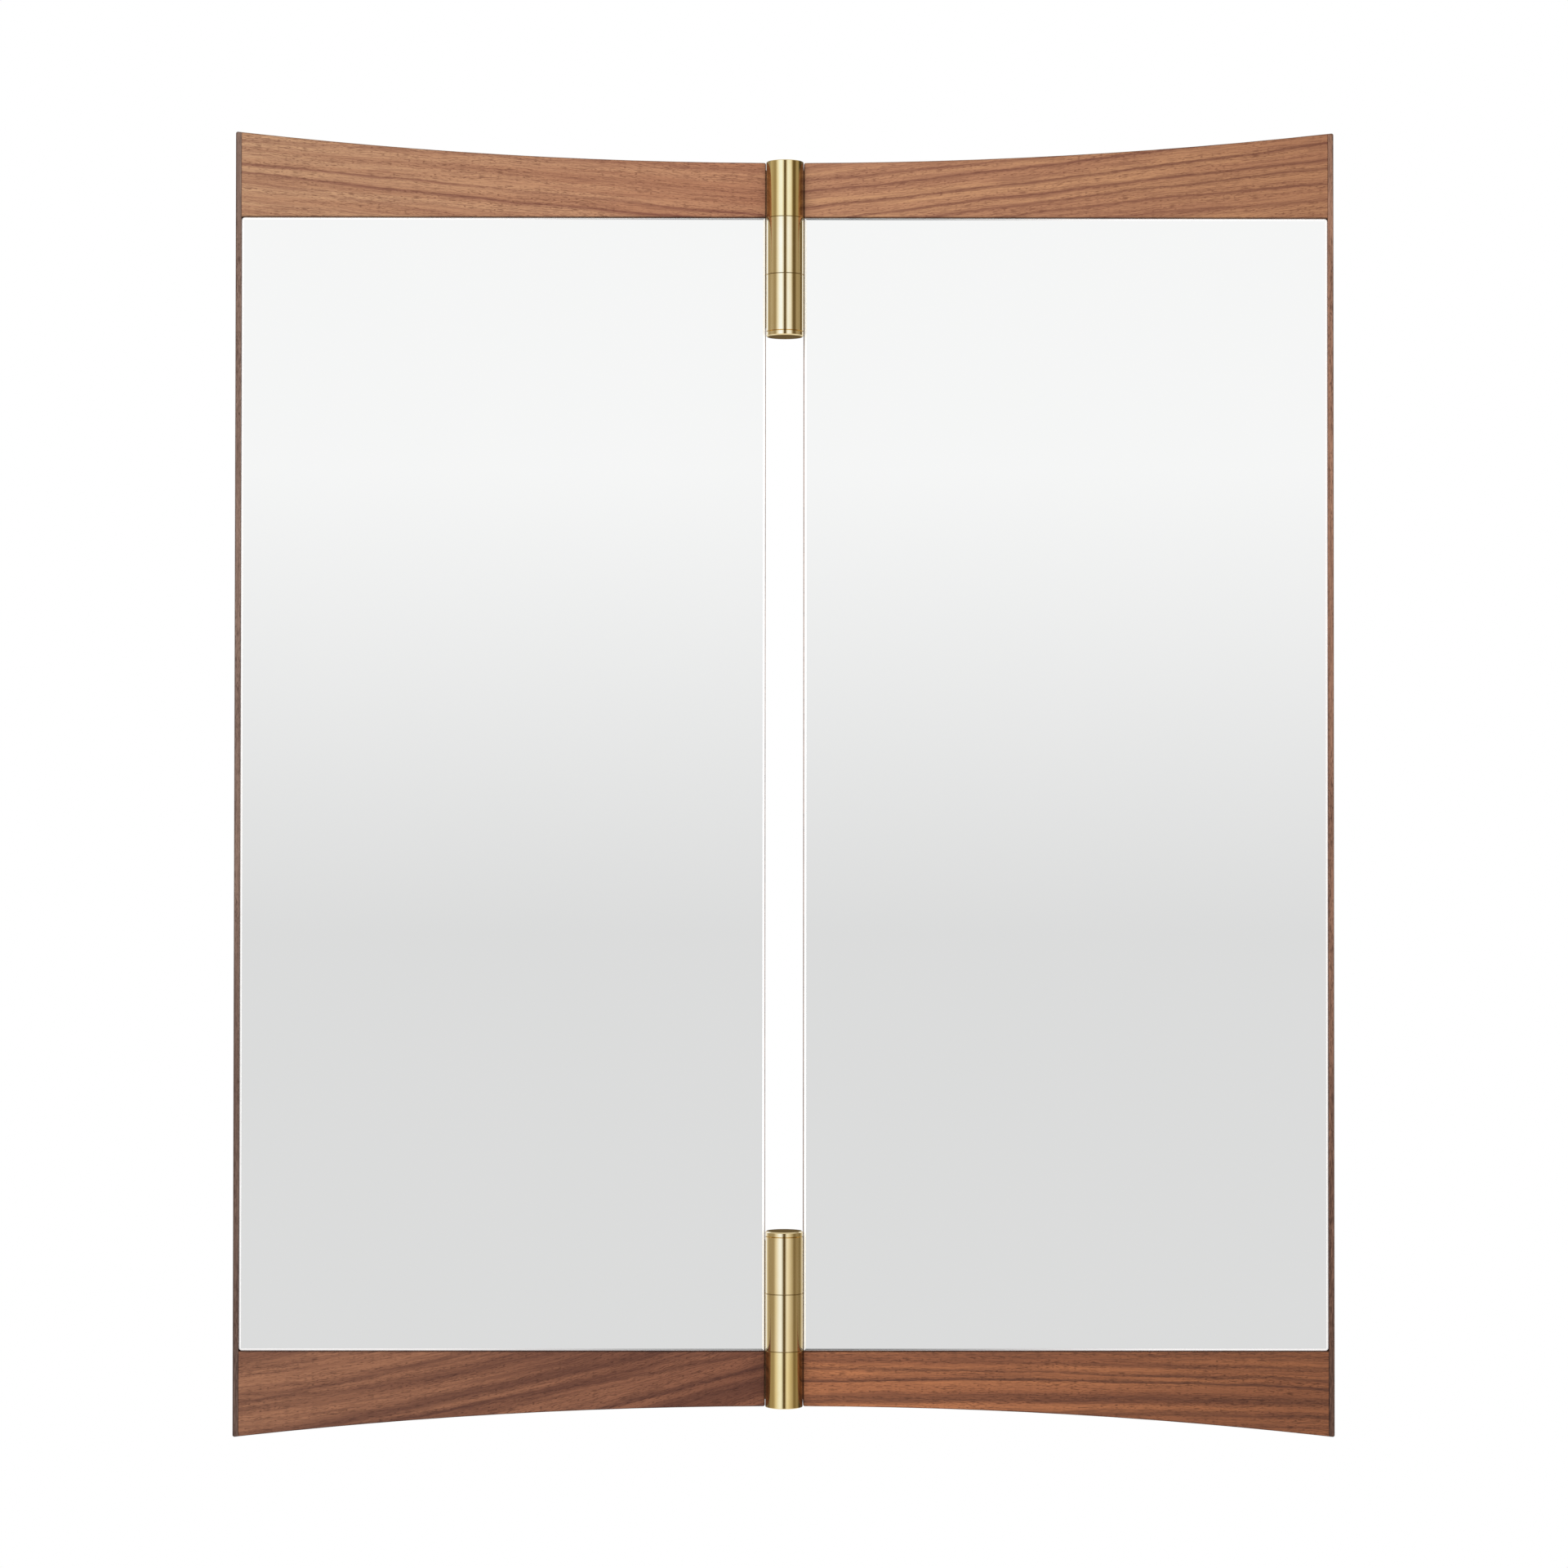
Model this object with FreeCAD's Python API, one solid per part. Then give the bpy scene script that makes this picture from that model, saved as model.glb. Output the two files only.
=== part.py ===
import FreeCAD, Part
import os
from math import sqrt

# Two-leaf folding wall mirror. Millimetres.
# X runs to the viewer's right, Y from the room to the wall, Z up.
# The hinge axis stands at X = 0 and the origin is the centre of the whole open mirror.

# Whole mirror
OVERALL_WIDTH = 590.0
OVERALL_HEIGHT = 700.0          # at the outer corners, where it is tallest
EDGE_DIP = 16.5                 # the bowed edges dip by this much at the hinge
RAIL_HEIGHT = 29.4              # wood above and below the glass, at the hinge

# Leaf, from the front to the wall
GLASS_SETBACK = 0.5             # glass face behind the face of the wood
GLASS_THICKNESS = 4.0
TAPE_THICKNESS = 1.5
CORE_THICKNESS = 12.0
BUMPER_HEIGHT = 2.0

# Wood
OUTER_STRIP_WIDTH = 3.0         # the thin upright along the outer edge
INNER_STRIP_WIDTH = 3.0         # the lipping behind the glass at the hinge side
EDGE_BREAK = 0.5                # edges that a hand meets
CORNER_ROUND = 1.0              # free corners, seen from the front
SEAM_BREAK = 0.25               # edges where two pieces of wood meet

# Glass
GLASS_GAP = 0.2                 # all round, between glass and wood
GLASS_INSET = 0.4               # glass edge back from the free edge of the leaf
GLASS_CORNER = 1.5
GLASS_ARRIS = 1.1               # polished bevel around the glass
TAPE_WIDTH = 19.0
TAPE_END_GAP = 25.0

# Loose tenons between rails and core board
TENON_WIDTH = 24.0
TENON_THICKNESS = 5.0
TENON_LENGTH = 30.0
TENON_EDGE = 95.0               # centre of a tenon from the ends of its rail

# Barrel hinges
BARREL_RADIUS = 10.0
JOINT_DROP = 0.6                # first joint of a barrel beyond the line of the glass
BARREL_GAP = 0.2                # between the barrel and the leaves and plates beside it
RIM_BREAK = 0.3                 # fine bevel on the closed end
KNUCKLE_CLOSED_END = 6.0        # solid brass left at the outer end of a barrel
CAP_THICKNESS = 3.0
CAP_BREAK = 0.6
CAP_SEAM = 0.5                  # bevel that shows where the cap meets its knuckle
SPIGOT_RADIUS = 6.0
SPIGOT_LENGTH = 4.0
PIN_RADIUS = 4.0
BUSH_WALL = 1.5
SHOULDER_HEIGHT = 0.4           # turned step on the fixed knuckles, next to the turning one
SHOULDER_INSET = 0.6            # rim of the step inside the barrel's face
END_PLAY = 0.05                 # along the axis, each side of the turning knuckle
RUNNING_FIT = 0.03              # radial, pin in bush and pin in knuckles
SEAT_GAP = 0.1                  # around plates and tenons that are let into the wood
PIN_END_GAP = 0.3

# Hinge plates, let into the leaves under the glass
PLATE_THICKNESS = 2.5
HEAD_COVER = 0.5                # room between the plate's screw heads and the glass
PLATE_REACH = 25.0
PLATE_END_GAP = 3.0
TAB_GAP = 0.6                   # plate tabs stay this far from the next knuckle
PLATE_SCREW_EDGE = 10.0
PLATE_SCREW_REACH = 14.0        # from the leaf's edge to the row of screws
SCREW_COVER = 1.5               # wood left behind the screw points

# Pan-head screws
SCREW_RADIUS = 2.0
SCREW_HEAD_RADIUS = 3.8
SCREW_HEAD_HEIGHT = 1.5
HANGER_SCREW_LENGTH = 12.0

# Keyhole plates in the back of the fixed leaf
HANGER_EDGE = 50.9              # centre of a plate from the ends of its rail
HANGER_WIDTH = 46.0
HANGER_HEIGHT = 24.0
HANGER_THICKNESS = 2.0
HANGER_CORNER = 4.0
HANGER_SCREW_SPACING = 32.0
KEYHOLE_RADIUS = 4.5
KEYHOLE_SLOT_RADIUS = 2.25
KEYHOLE_RISE = 8.5              # from the entry hole up to the end of the slot
KEYHOLE_POCKET_GAP = 1.0        # room around the screw head behind the plate
KEYHOLE_POCKET_DEPTH = 6.0

# Rubber bumpers
BUMPER_RADIUS = 7.0
BUMPER_EDGE = 14.0              # centre of a bumper from the ends of its rail

# Levels through the thickness, first from the face of the wood
glass_back_depth = GLASS_SETBACK + GLASS_THICKNESS
core_front_depth = glass_back_depth + TAPE_THICKNESS
frame_depth = core_front_depth + CORE_THICKNESS
plate_front_depth = glass_back_depth + HEAD_COVER + SCREW_HEAD_HEIGHT
plate_back_depth = plate_front_depth + PLATE_THICKNESS
axis_depth = plate_back_depth - BARREL_RADIUS
front_y = -(frame_depth + BUMPER_HEIGHT + axis_depth - BARREL_RADIUS) / 2
glass_front_y = front_y + GLASS_SETBACK
glass_back_y = front_y + glass_back_depth
core_front_y = front_y + core_front_depth
back_y = front_y + frame_depth
wall_y = back_y + BUMPER_HEIGHT
plate_front_y = front_y + plate_front_depth
plate_back_y = front_y + plate_back_depth
axis_y = front_y + axis_depth

# Lines across the width and the height
half_width = OVERALL_WIDTH / 2
half_height = OVERALL_HEIGHT / 2
leaf_edge = BARREL_RADIUS + BARREL_GAP
rail_end = half_width - OUTER_STRIP_WIDTH
leaf_middle = (leaf_edge + rail_end) / 2
hinge_top = half_height - EDGE_DIP
sight_half = hinge_top - RAIL_HEIGHT
rail_middle = sight_half + RAIL_HEIGHT / 2
bow_radius = (half_width ** 2 + EDGE_DIP ** 2) / (2 * EDGE_DIP)
plate_end = leaf_edge + PLATE_REACH
plate_start = sqrt(leaf_edge ** 2 - (BARREL_RADIUS - PLATE_THICKNESS) ** 2)   # its corner clears the barrel

# Levels along the upper barrel; the lower one is its mirror image
knuckle_length = RAIL_HEIGHT + JOINT_DROP
knuckle_gap = SHOULDER_HEIGHT + END_PLAY
outer_knuckle = (hinge_top - knuckle_length, hinge_top)
centre_top = outer_knuckle[0] - knuckle_gap
centre_knuckle = (centre_top - knuckle_length, centre_top)
inner_top = centre_knuckle[0] - knuckle_gap
inner_knuckle = (inner_top - knuckle_length, inner_top)
plate_span = (inner_knuckle[0] + PLATE_END_GAP, hinge_top - PLATE_END_GAP)

LEFT, RIGHT = -1, 1
TOP, BOTTOM = 1, -1
SAME_PLACE = 1e-4               # points closer than this lie on the same line
V = FreeCAD.Vector


def bow(x):
    """Height of the bowed edge above the middle of the mirror."""
    return hinge_top + bow_radius - sqrt(bow_radius ** 2 - x ** 2)


# Simple solids

def box(x0, x1, y0, y1, z0, z1):
    corner = V(min(x0, x1), min(y0, y1), min(z0, z1))
    return Part.makeBox(abs(x1 - x0), abs(y1 - y0), abs(z1 - z0), corner)


def upright(radius, x, y, z0, z1):
    """A round bar along Z."""
    return Part.makeCylinder(radius, abs(z1 - z0), V(x, y, min(z0, z1)))


def through(radius, x, z, y0, y1):
    """A round bar along Y."""
    return Part.makeCylinder(radius, abs(y1 - y0), V(x, min(y0, y1), z), V(0, 1, 0))


def outward(solid):
    """The same solid with its faces looking out."""
    if solid.Volume < 0:
        solid.reverse()
    return solid


def slab(edges, y0, y1):
    """A flat piece from its outline, drawn in the plane y0."""
    outline = Part.Wire(Part.__sortEdges__(edges))
    return outward(Part.Face(outline).extrude(V(0, y1 - y0, 0)))


def line(a, b):
    return Part.makeLine(V(*a), V(*b))


def arc(a, middle, b):
    return Part.Arc(V(*a), V(*middle), V(*b)).toShape()


def pick(solid, test):
    """The edges whose middle passes the test."""
    chosen = []
    for edge in solid.Edges:
        middle = edge.valueAt((edge.FirstParameter + edge.LastParameter) / 2)
        if test(middle):
            chosen.append(edge)
    return chosen


def near(a, b):
    return abs(a - b) < SAME_PLACE


def on_bow(point, end):
    return near(end * point.z, bow(point.x))


def on_face(point):
    return near(point.y, front_y) or near(point.y, back_y)


# Screws

def screw(x, z, seat_y, length, direction):
    """A pan-head screw along Y with its head on the plane seat_y; direction +1 points to the wall."""
    head = through(SCREW_HEAD_RADIUS, x, z, seat_y - direction * SCREW_HEAD_HEIGHT, seat_y)
    shank = through(SCREW_RADIUS, x, z, seat_y, seat_y + direction * length)
    return head.fuse(shank)


def screw_hole(x, z, seat_y, length, direction):
    """The hole for the shank, through the plate and into the wood."""
    return through(SCREW_RADIUS + RUNNING_FIT, x, z, seat_y, seat_y + direction * length)


# Places of the repeated pieces

def plate_screw_places(side, end):
    x = side * (leaf_edge + PLATE_SCREW_REACH)
    return [(x, end * (plate_span[0] + PLATE_SCREW_EDGE)), (x, end * (sight_half - PLATE_SCREW_EDGE))]


def plate_screw_length():
    return back_y - plate_front_y - SCREW_COVER


def plate_screw_hole(x, z):
    return screw_hole(x, z, plate_front_y, plate_screw_length(), 1)


def hanger_screw_hole(x):
    return screw_hole(x, rail_middle, back_y, HANGER_SCREW_LENGTH, -1)


def tenon_places(side):
    return [side * (leaf_edge + TENON_EDGE), side * (rail_end - TENON_EDGE)]


def hanger_places():
    return [-(rail_end - HANGER_EDGE), -(leaf_edge + HANGER_EDGE)]


def hanger_screw_places():
    half = HANGER_SCREW_SPACING / 2
    return [x + offset for x in hanger_places() for offset in (-half, half)]


def bumper_places(side):
    ends = (leaf_edge + BUMPER_EDGE, rail_end - BUMPER_EDGE)
    return [(side * x, end * rail_middle) for x in ends for end in (TOP, BOTTOM)]


# Hinge plates and what they are let into

def plate_housing(side, end):
    """Open to the front in the core board, a closed slot in the end of the rail."""
    inner, outer = side * BARREL_RADIUS, side * (plate_end + SEAT_GAP)
    low, high = plate_span[0] - SEAT_GAP, plate_span[1] + SEAT_GAP
    slot = box(inner, outer, plate_front_y - SEAT_GAP, plate_back_y, end * low, end * high)
    mouth = box(inner, outer, core_front_y, plate_back_y, end * low, end * sight_half)
    return slot.fuse(mouth)


def hinge_plate(side, end, knuckles):
    """A flat plate up to the barrel, with a tab tangent to each knuckle that it carries."""
    foot, head = plate_span
    plate = box(side * plate_start, side * plate_end, plate_front_y, plate_back_y, end * foot, end * head)
    for low, high in knuckles:
        tab_low = max(low + TAB_GAP, foot)
        tab_high = min(high - TAB_GAP, head)
        tab = box(0, side * plate_start, plate_front_y, plate_back_y, end * tab_low, end * tab_high)
        plate = plate.fuse(tab)
    plate = plate.removeSplitter()
    for x, z in plate_screw_places(side, end):
        plate = plate.cut(plate_screw_hole(x, z))
    return plate


def make_fixed_plate(end):
    return hinge_plate(LEFT, end, (outer_knuckle, inner_knuckle))


def make_swing_plate(end):
    return hinge_plate(RIGHT, end, (centre_knuckle,))


def make_plate_screws(side):
    places = plate_screw_places(side, TOP) + plate_screw_places(side, BOTTOM)
    return Part.makeCompound([screw(x, z, plate_front_y, plate_screw_length(), 1) for x, z in places])


# Knuckles, pins and the rest of a barrel

def barrel(z0, z1):
    return upright(BARREL_RADIUS, 0, axis_y, z0, z1)


def bored(solid, radius, z0, z1):
    return solid.cut(upright(radius, 0, axis_y, z0, z1))


def shoulder(z0, z1):
    """The step that the turning knuckle runs on; it leaves a fine groove around the barrel."""
    return upright(BARREL_RADIUS - SHOULDER_INSET, 0, axis_y, z0, z1)


def make_outer_knuckle(end):
    low, high = outer_knuckle
    step = low - SHOULDER_HEIGHT
    solid = barrel(end * low, end * high)
    solid = solid.makeChamfer(RIM_BREAK, pick(solid, lambda p: near(p.z, end * high)))
    solid = solid.fuse(shoulder(end * step, end * low))
    solid = bored(solid, PIN_RADIUS + RUNNING_FIT, end * step, end * (high - KNUCKLE_CLOSED_END))
    return solid.cut(make_fixed_plate(end))


def make_centre_knuckle(end):
    low, high = centre_knuckle
    solid = barrel(end * low, end * high)
    solid = bored(solid, PIN_RADIUS + BUSH_WALL + RUNNING_FIT, end * low, end * high)
    return solid.cut(make_swing_plate(end))


def make_inner_knuckle(end):
    low, high = inner_knuckle
    step = high + SHOULDER_HEIGHT
    solid = barrel(end * low, end * high).fuse(shoulder(end * high, end * step))
    solid = bored(solid, PIN_RADIUS + RUNNING_FIT, end * low, end * step)
    solid = bored(solid, SPIGOT_RADIUS + RUNNING_FIT, end * low, end * (low + SPIGOT_LENGTH + PIN_END_GAP))
    return solid.cut(make_fixed_plate(end))


def make_end_cap(end):
    """A disc with bevelled rims and a spigot in the open end of the barrel."""
    top = inner_knuckle[0]
    bottom = top - CAP_THICKNESS
    disc = barrel(end * bottom, end * top)
    free_rim = pick(disc, lambda p: near(p.z, end * bottom))
    disc = disc.makeChamfer(CAP_BREAK, free_rim)
    seam_rim = pick(disc, lambda p: near(p.z, end * top))
    disc = disc.makeChamfer(CAP_SEAM, seam_rim)
    spigot = upright(SPIGOT_RADIUS, 0, axis_y, end * top, end * (top + SPIGOT_LENGTH))
    return disc.fuse(spigot).removeSplitter()


def make_pin(end):
    low = inner_knuckle[0] + SPIGOT_LENGTH + PIN_END_GAP
    high = outer_knuckle[1] - KNUCKLE_CLOSED_END - PIN_END_GAP
    return upright(PIN_RADIUS, 0, axis_y, end * low, end * high)


def make_bush(end):
    low, high = centre_knuckle
    bush = upright(PIN_RADIUS + BUSH_WALL, 0, axis_y, end * low, end * high)
    return bored(bush, PIN_RADIUS + RUNNING_FIT, end * low, end * high)


# Keyhole plates

def keyhole(x, radius, slot_radius, y0, y1):
    """Round entry hole with a narrower slot rising from it."""
    entry_z = rail_middle - KEYHOLE_RISE / 2
    slot_z = entry_z + KEYHOLE_RISE
    entry = through(radius, x, entry_z, y0, y1)
    slot = box(x - slot_radius, x + slot_radius, y0, y1, entry_z, slot_z)
    slot_end = through(slot_radius, x, slot_z, y0, y1)
    return entry.fuse([slot, slot_end]).removeSplitter()


def hanger_blank(x, gap):
    half_w = HANGER_WIDTH / 2 + gap
    low, high = rail_middle - HANGER_HEIGHT / 2 - gap, rail_middle + HANGER_HEIGHT / 2 + gap
    blank = box(x - half_w, x + half_w, back_y - HANGER_THICKNESS, back_y, low, high)
    corners = [edge for edge in blank.Edges if near(edge.Length, HANGER_THICKNESS)]
    return blank.makeFillet(HANGER_CORNER, corners)


def hanger_plate(x):
    plate = hanger_blank(x, 0)
    plate = plate.cut(keyhole(x, KEYHOLE_RADIUS, KEYHOLE_SLOT_RADIUS, back_y - HANGER_THICKNESS, back_y))
    for offset in (-HANGER_SCREW_SPACING / 2, HANGER_SCREW_SPACING / 2):
        plate = plate.cut(hanger_screw_hole(x + offset))
    return plate


def hanger_recess(x):
    """Let-in bed for the plate and the room for a screw head behind it."""
    room = KEYHOLE_RADIUS + KEYHOLE_POCKET_GAP
    pocket_y = back_y - HANGER_THICKNESS
    pocket = keyhole(x, room, room, pocket_y - KEYHOLE_POCKET_DEPTH, pocket_y)
    return hanger_blank(x, SEAT_GAP).fuse(pocket)


# Wood

def rail_blank(side, end):
    """Straight along the glass, bowed along the free edge."""
    inner, outer, middle = side * leaf_edge, side * rail_end, side * leaf_middle
    near_glass_in = (inner, front_y, end * sight_half)
    near_glass_out = (outer, front_y, end * sight_half)
    free_out = (outer, front_y, end * bow(outer))
    free_middle = (middle, front_y, end * bow(middle))
    free_in = (inner, front_y, end * bow(inner))
    outline = [
        line(near_glass_in, near_glass_out),
        line(near_glass_out, free_out),
        arc(free_out, free_middle, free_in),
        line(free_in, near_glass_in),
    ]
    rail = slab(outline, front_y, back_y)
    corner = pick(rail, lambda p: near(p.x, inner) and on_bow(p, end))
    rail = rail.makeFillet(CORNER_ROUND, corner)
    free = pick(rail, lambda p: on_face(p) and not near(end * p.z, sight_half) and not near(p.x, outer))
    rail = rail.makeChamfer(EDGE_BREAK, free)
    glass_line = pick(rail, lambda p: on_face(p) and near(end * p.z, sight_half))
    rail = rail.makeChamfer(SEAM_BREAK, glass_line)
    seam = pick(rail, lambda p: on_face(p) and near(p.x, outer))
    return rail.makeChamfer(SEAM_BREAK, seam)


def make_rail(side, end):
    rail = rail_blank(side, end).cut(plate_housing(side, end))
    for x in tenon_places(side):
        rail = rail.cut(tenon(x, end, SEAT_GAP))
    if side == LEFT and end == TOP:
        for x in hanger_places():
            rail = rail.cut(hanger_recess(x))
        for x in hanger_screw_places():
            rail = rail.cut(hanger_screw_hole(x))
    return rail


def make_outer_strip(side):
    """The thin upright that closes the outer edge of a leaf from top to bottom."""
    inner, outer = side * rail_end, side * half_width
    middle = (inner + outer) / 2
    outline = [
        line((inner, front_y, -bow(inner)), (inner, front_y, bow(inner))),
        arc((inner, front_y, bow(inner)), (middle, front_y, bow(middle)), (outer, front_y, bow(outer))),
        line((outer, front_y, bow(outer)), (outer, front_y, -bow(outer))),
        arc((outer, front_y, -bow(outer)), (middle, front_y, -bow(middle)), (inner, front_y, -bow(inner))),
    ]
    strip = slab(outline, front_y, back_y)
    corners = pick(strip, lambda p: near(p.x, outer) and near(abs(p.z), half_height))
    strip = strip.makeFillet(CORNER_ROUND, corners)
    free = pick(strip, lambda p: on_face(p) and not near(p.x, inner))
    return strip.makeChamfer(EDGE_BREAK, free)


def make_inner_strip(side):
    """Lipping on the hinge side of the core board, between the rails."""
    inner, outer = side * leaf_edge, side * (leaf_edge + INNER_STRIP_WIDTH)
    strip = box(inner, outer, core_front_y, back_y, -sight_half, sight_half)
    free_edge = pick(strip, lambda p: near(p.x, inner) and near(p.y, back_y))
    strip = strip.makeChamfer(EDGE_BREAK, free_edge)
    for end in (TOP, BOTTOM):
        strip = strip.cut(plate_housing(side, end))
    return strip


def make_core_board(side):
    inner, outer = side * (leaf_edge + INNER_STRIP_WIDTH), side * rail_end
    board = box(inner, outer, core_front_y, back_y, -sight_half, sight_half)
    board = board.makeChamfer(SEAM_BREAK, pick(board, lambda p: near(p.y, back_y)))
    for end in (TOP, BOTTOM):
        board = board.cut(plate_housing(side, end))
        for x, z in plate_screw_places(side, end):
            board = board.cut(plate_screw_hole(x, z))
        for x in tenon_places(side):
            board = board.cut(tenon(x, end, SEAT_GAP))
    return board


def tenon(x, end, gap=0.0):
    """Half in the rail and half in the core board. With a gap it is its own mortise."""
    y = (core_front_y + back_y) / 2
    z = end * sight_half
    across = TENON_WIDTH / 2 + gap
    through_core = TENON_THICKNESS / 2
    along = TENON_LENGTH / 2 + gap
    return box(x - across, x + across, y - through_core, y + through_core, z - along, z + along)


def make_tenons(side):
    return Part.makeCompound([tenon(x, end) for end in (TOP, BOTTOM) for x in tenon_places(side)])


# Glass, tape and bumpers

def make_glass(side):
    inner, outer = side * (leaf_edge + GLASS_INSET), side * (rail_end - GLASS_GAP)
    half = sight_half - GLASS_GAP
    glass = box(inner, outer, glass_front_y, glass_back_y, -half, half)
    corners = pick(glass, lambda p: near(p.x, outer) and near(abs(p.z), half))
    glass = glass.makeFillet(GLASS_CORNER, corners)
    return glass.makeChamfer(GLASS_ARRIS, pick(glass, lambda p: near(p.y, glass_front_y)))


def make_tape(side):
    """Three upright strips of foam tape that hold the glass to the core board."""
    half = sight_half - TAPE_END_GAP
    first = plate_end + TAPE_WIDTH
    last = rail_end - TAPE_WIDTH
    strips = []
    for x in (first, (first + last) / 2, last):
        x0, x1 = side * (x - TAPE_WIDTH / 2), side * (x + TAPE_WIDTH / 2)
        strips.append(box(x0, x1, glass_back_y, core_front_y, -half, half))
    return Part.makeCompound(strips)


def make_bumpers(side):
    return Part.makeCompound([through(BUMPER_RADIUS, x, z, back_y, wall_y) for x, z in bumper_places(side)])


# Assembly

def make_leaf(side, name):
    return {
        name + "_top_rail": make_rail(side, TOP),
        name + "_bottom_rail": make_rail(side, BOTTOM),
        name + "_outer_strip": make_outer_strip(side),
        name + "_inner_strip": make_inner_strip(side),
        name + "_core_board": make_core_board(side),
        name + "_mirror_glass": make_glass(side),
        name + "_mirror_tape": make_tape(side),
        name + "_loose_tenons": make_tenons(side),
        name + "_wall_bumpers": make_bumpers(side),
    }


def twins(make):
    """The piece of the upper hinge and its mirror image in the lower one."""
    return Part.makeCompound([make(TOP), make(BOTTOM)])


def make_hinges():
    return {
        "outer_knuckles": twins(make_outer_knuckle),
        "centre_knuckles": twins(make_centre_knuckle),
        "inner_knuckles": twins(make_inner_knuckle),
        "end_caps": twins(make_end_cap),
        "hinge_pins": twins(make_pin),
        "knuckle_bushes": twins(make_bush),
        "fixed_plates": twins(make_fixed_plate),
        "swing_plates": twins(make_swing_plate),
    }


def make_fittings():
    hanger_screws = [screw(x, rail_middle, back_y, HANGER_SCREW_LENGTH, -1) for x in hanger_screw_places()]
    return {
        "hanger_plates": Part.makeCompound([hanger_plate(x) for x in hanger_places()]),
        "hanger_screws": Part.makeCompound(hanger_screws),
        "fixed_plate_screws": make_plate_screws(LEFT),
        "swing_plate_screws": make_plate_screws(RIGHT),
    }


nodes = {}
nodes.update(make_leaf(LEFT, "left"))
nodes.update(make_leaf(RIGHT, "right"))
nodes.update(make_hinges())
nodes.update(make_fittings())

os.makedirs("parts", exist_ok=True)
for node, shape in nodes.items():
    shape.exportStep("parts/" + node + ".step")
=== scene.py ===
import bpy
from math import radians
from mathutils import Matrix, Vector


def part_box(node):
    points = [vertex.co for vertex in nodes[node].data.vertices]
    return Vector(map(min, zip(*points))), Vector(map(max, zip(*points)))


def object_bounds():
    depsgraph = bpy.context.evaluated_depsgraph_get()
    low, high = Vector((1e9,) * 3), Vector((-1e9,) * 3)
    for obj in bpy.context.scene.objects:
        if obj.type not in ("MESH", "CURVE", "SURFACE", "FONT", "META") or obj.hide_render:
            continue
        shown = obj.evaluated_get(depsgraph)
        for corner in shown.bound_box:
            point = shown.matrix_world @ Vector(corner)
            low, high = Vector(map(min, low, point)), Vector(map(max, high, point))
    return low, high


# Two-leaf folding wall mirror: walnut rails and strips, silvered glass, turned brass hinges.
# The solids keep their shapes. This script gives them materials, light, a floor and a camera.
# Metres, in the frame of the solids: X to the viewer's right, Y to the wall, Z up.
# Patterns on the materials are in millimetres.

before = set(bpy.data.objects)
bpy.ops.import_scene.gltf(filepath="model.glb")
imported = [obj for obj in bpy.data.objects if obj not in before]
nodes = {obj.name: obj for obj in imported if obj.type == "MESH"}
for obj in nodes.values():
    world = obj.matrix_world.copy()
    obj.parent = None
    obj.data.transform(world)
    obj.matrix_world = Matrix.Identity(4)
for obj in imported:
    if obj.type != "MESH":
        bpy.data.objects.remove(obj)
cad_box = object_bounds()

MM = 0.001

# Lines of the object, read from the frame
rail_low, rail_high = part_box("right_top_rail")
leaf_edge = rail_low.x
rail_end = rail_high.x
glass_line = rail_low.z
wood_face = rail_low.y
half_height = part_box("right_outer_strip")[1].z
glass_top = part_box("right_mirror_glass")[1].z
barrel_low, barrel_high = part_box("outer_knuckles")
barrel_radius = barrel_high.x
axis_y = (barrel_low.y + barrel_high.y) / 2

# Camera, where the photograph was taken from
CAMERA_PLACE = (-0.0094, wood_face - 2.060, -0.0278)
CAMERA_PITCH = 0.762
CAMERA_ROLL = 0.049
CAMERA_YAW = -0.255
CAMERA_LENS = 88.19
CAMERA_SENSOR = 36.0

# Floor
FLOOR_DROP = 0.60               # floor below the lowest point of the mirror, which hangs on a wall
FLOOR_RADIUS = 2.0
FLOOR_SIDES = 128
FLOOR_FADE = (0.45, 0.98)       # shares of the radius between which it runs out to white
FLOOR_TONES = (0.86, 0.86, 0.855, 1.0), (0.90, 0.90, 0.895, 1.0)
FLOOR_PATCH = 400.0
FLOOR_ROUGHNESS = 0.7

# Lamps
KEY_PLACE = (-0.9, -1.7, 1.5)
KEY_SIZE = 1.4
KEY_POWER = 17.0
FILL_PLACE = (1.1, -1.6, -0.3)
FILL_SIZE = 1.2
FILL_POWER = 5.0

# Light from all round
AMBIENT = (0.66, 0.66, 0.66, 1.0)
WHITE = (1.0, 1.0, 1.0, 1.0)
BLACK = (0.0, 0.0, 0.0, 1.0)

# The room that the glass shows: paler above the horizon than below
SKY_LOW, SKY_LOW_LEVEL = -0.0255, 0.727
SKY_HIGH, SKY_HIGH_LEVEL = 0.0941, 0.937
FIRST_IMAGE = 1.5               # only a mirror that is seen directly shows it

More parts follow.
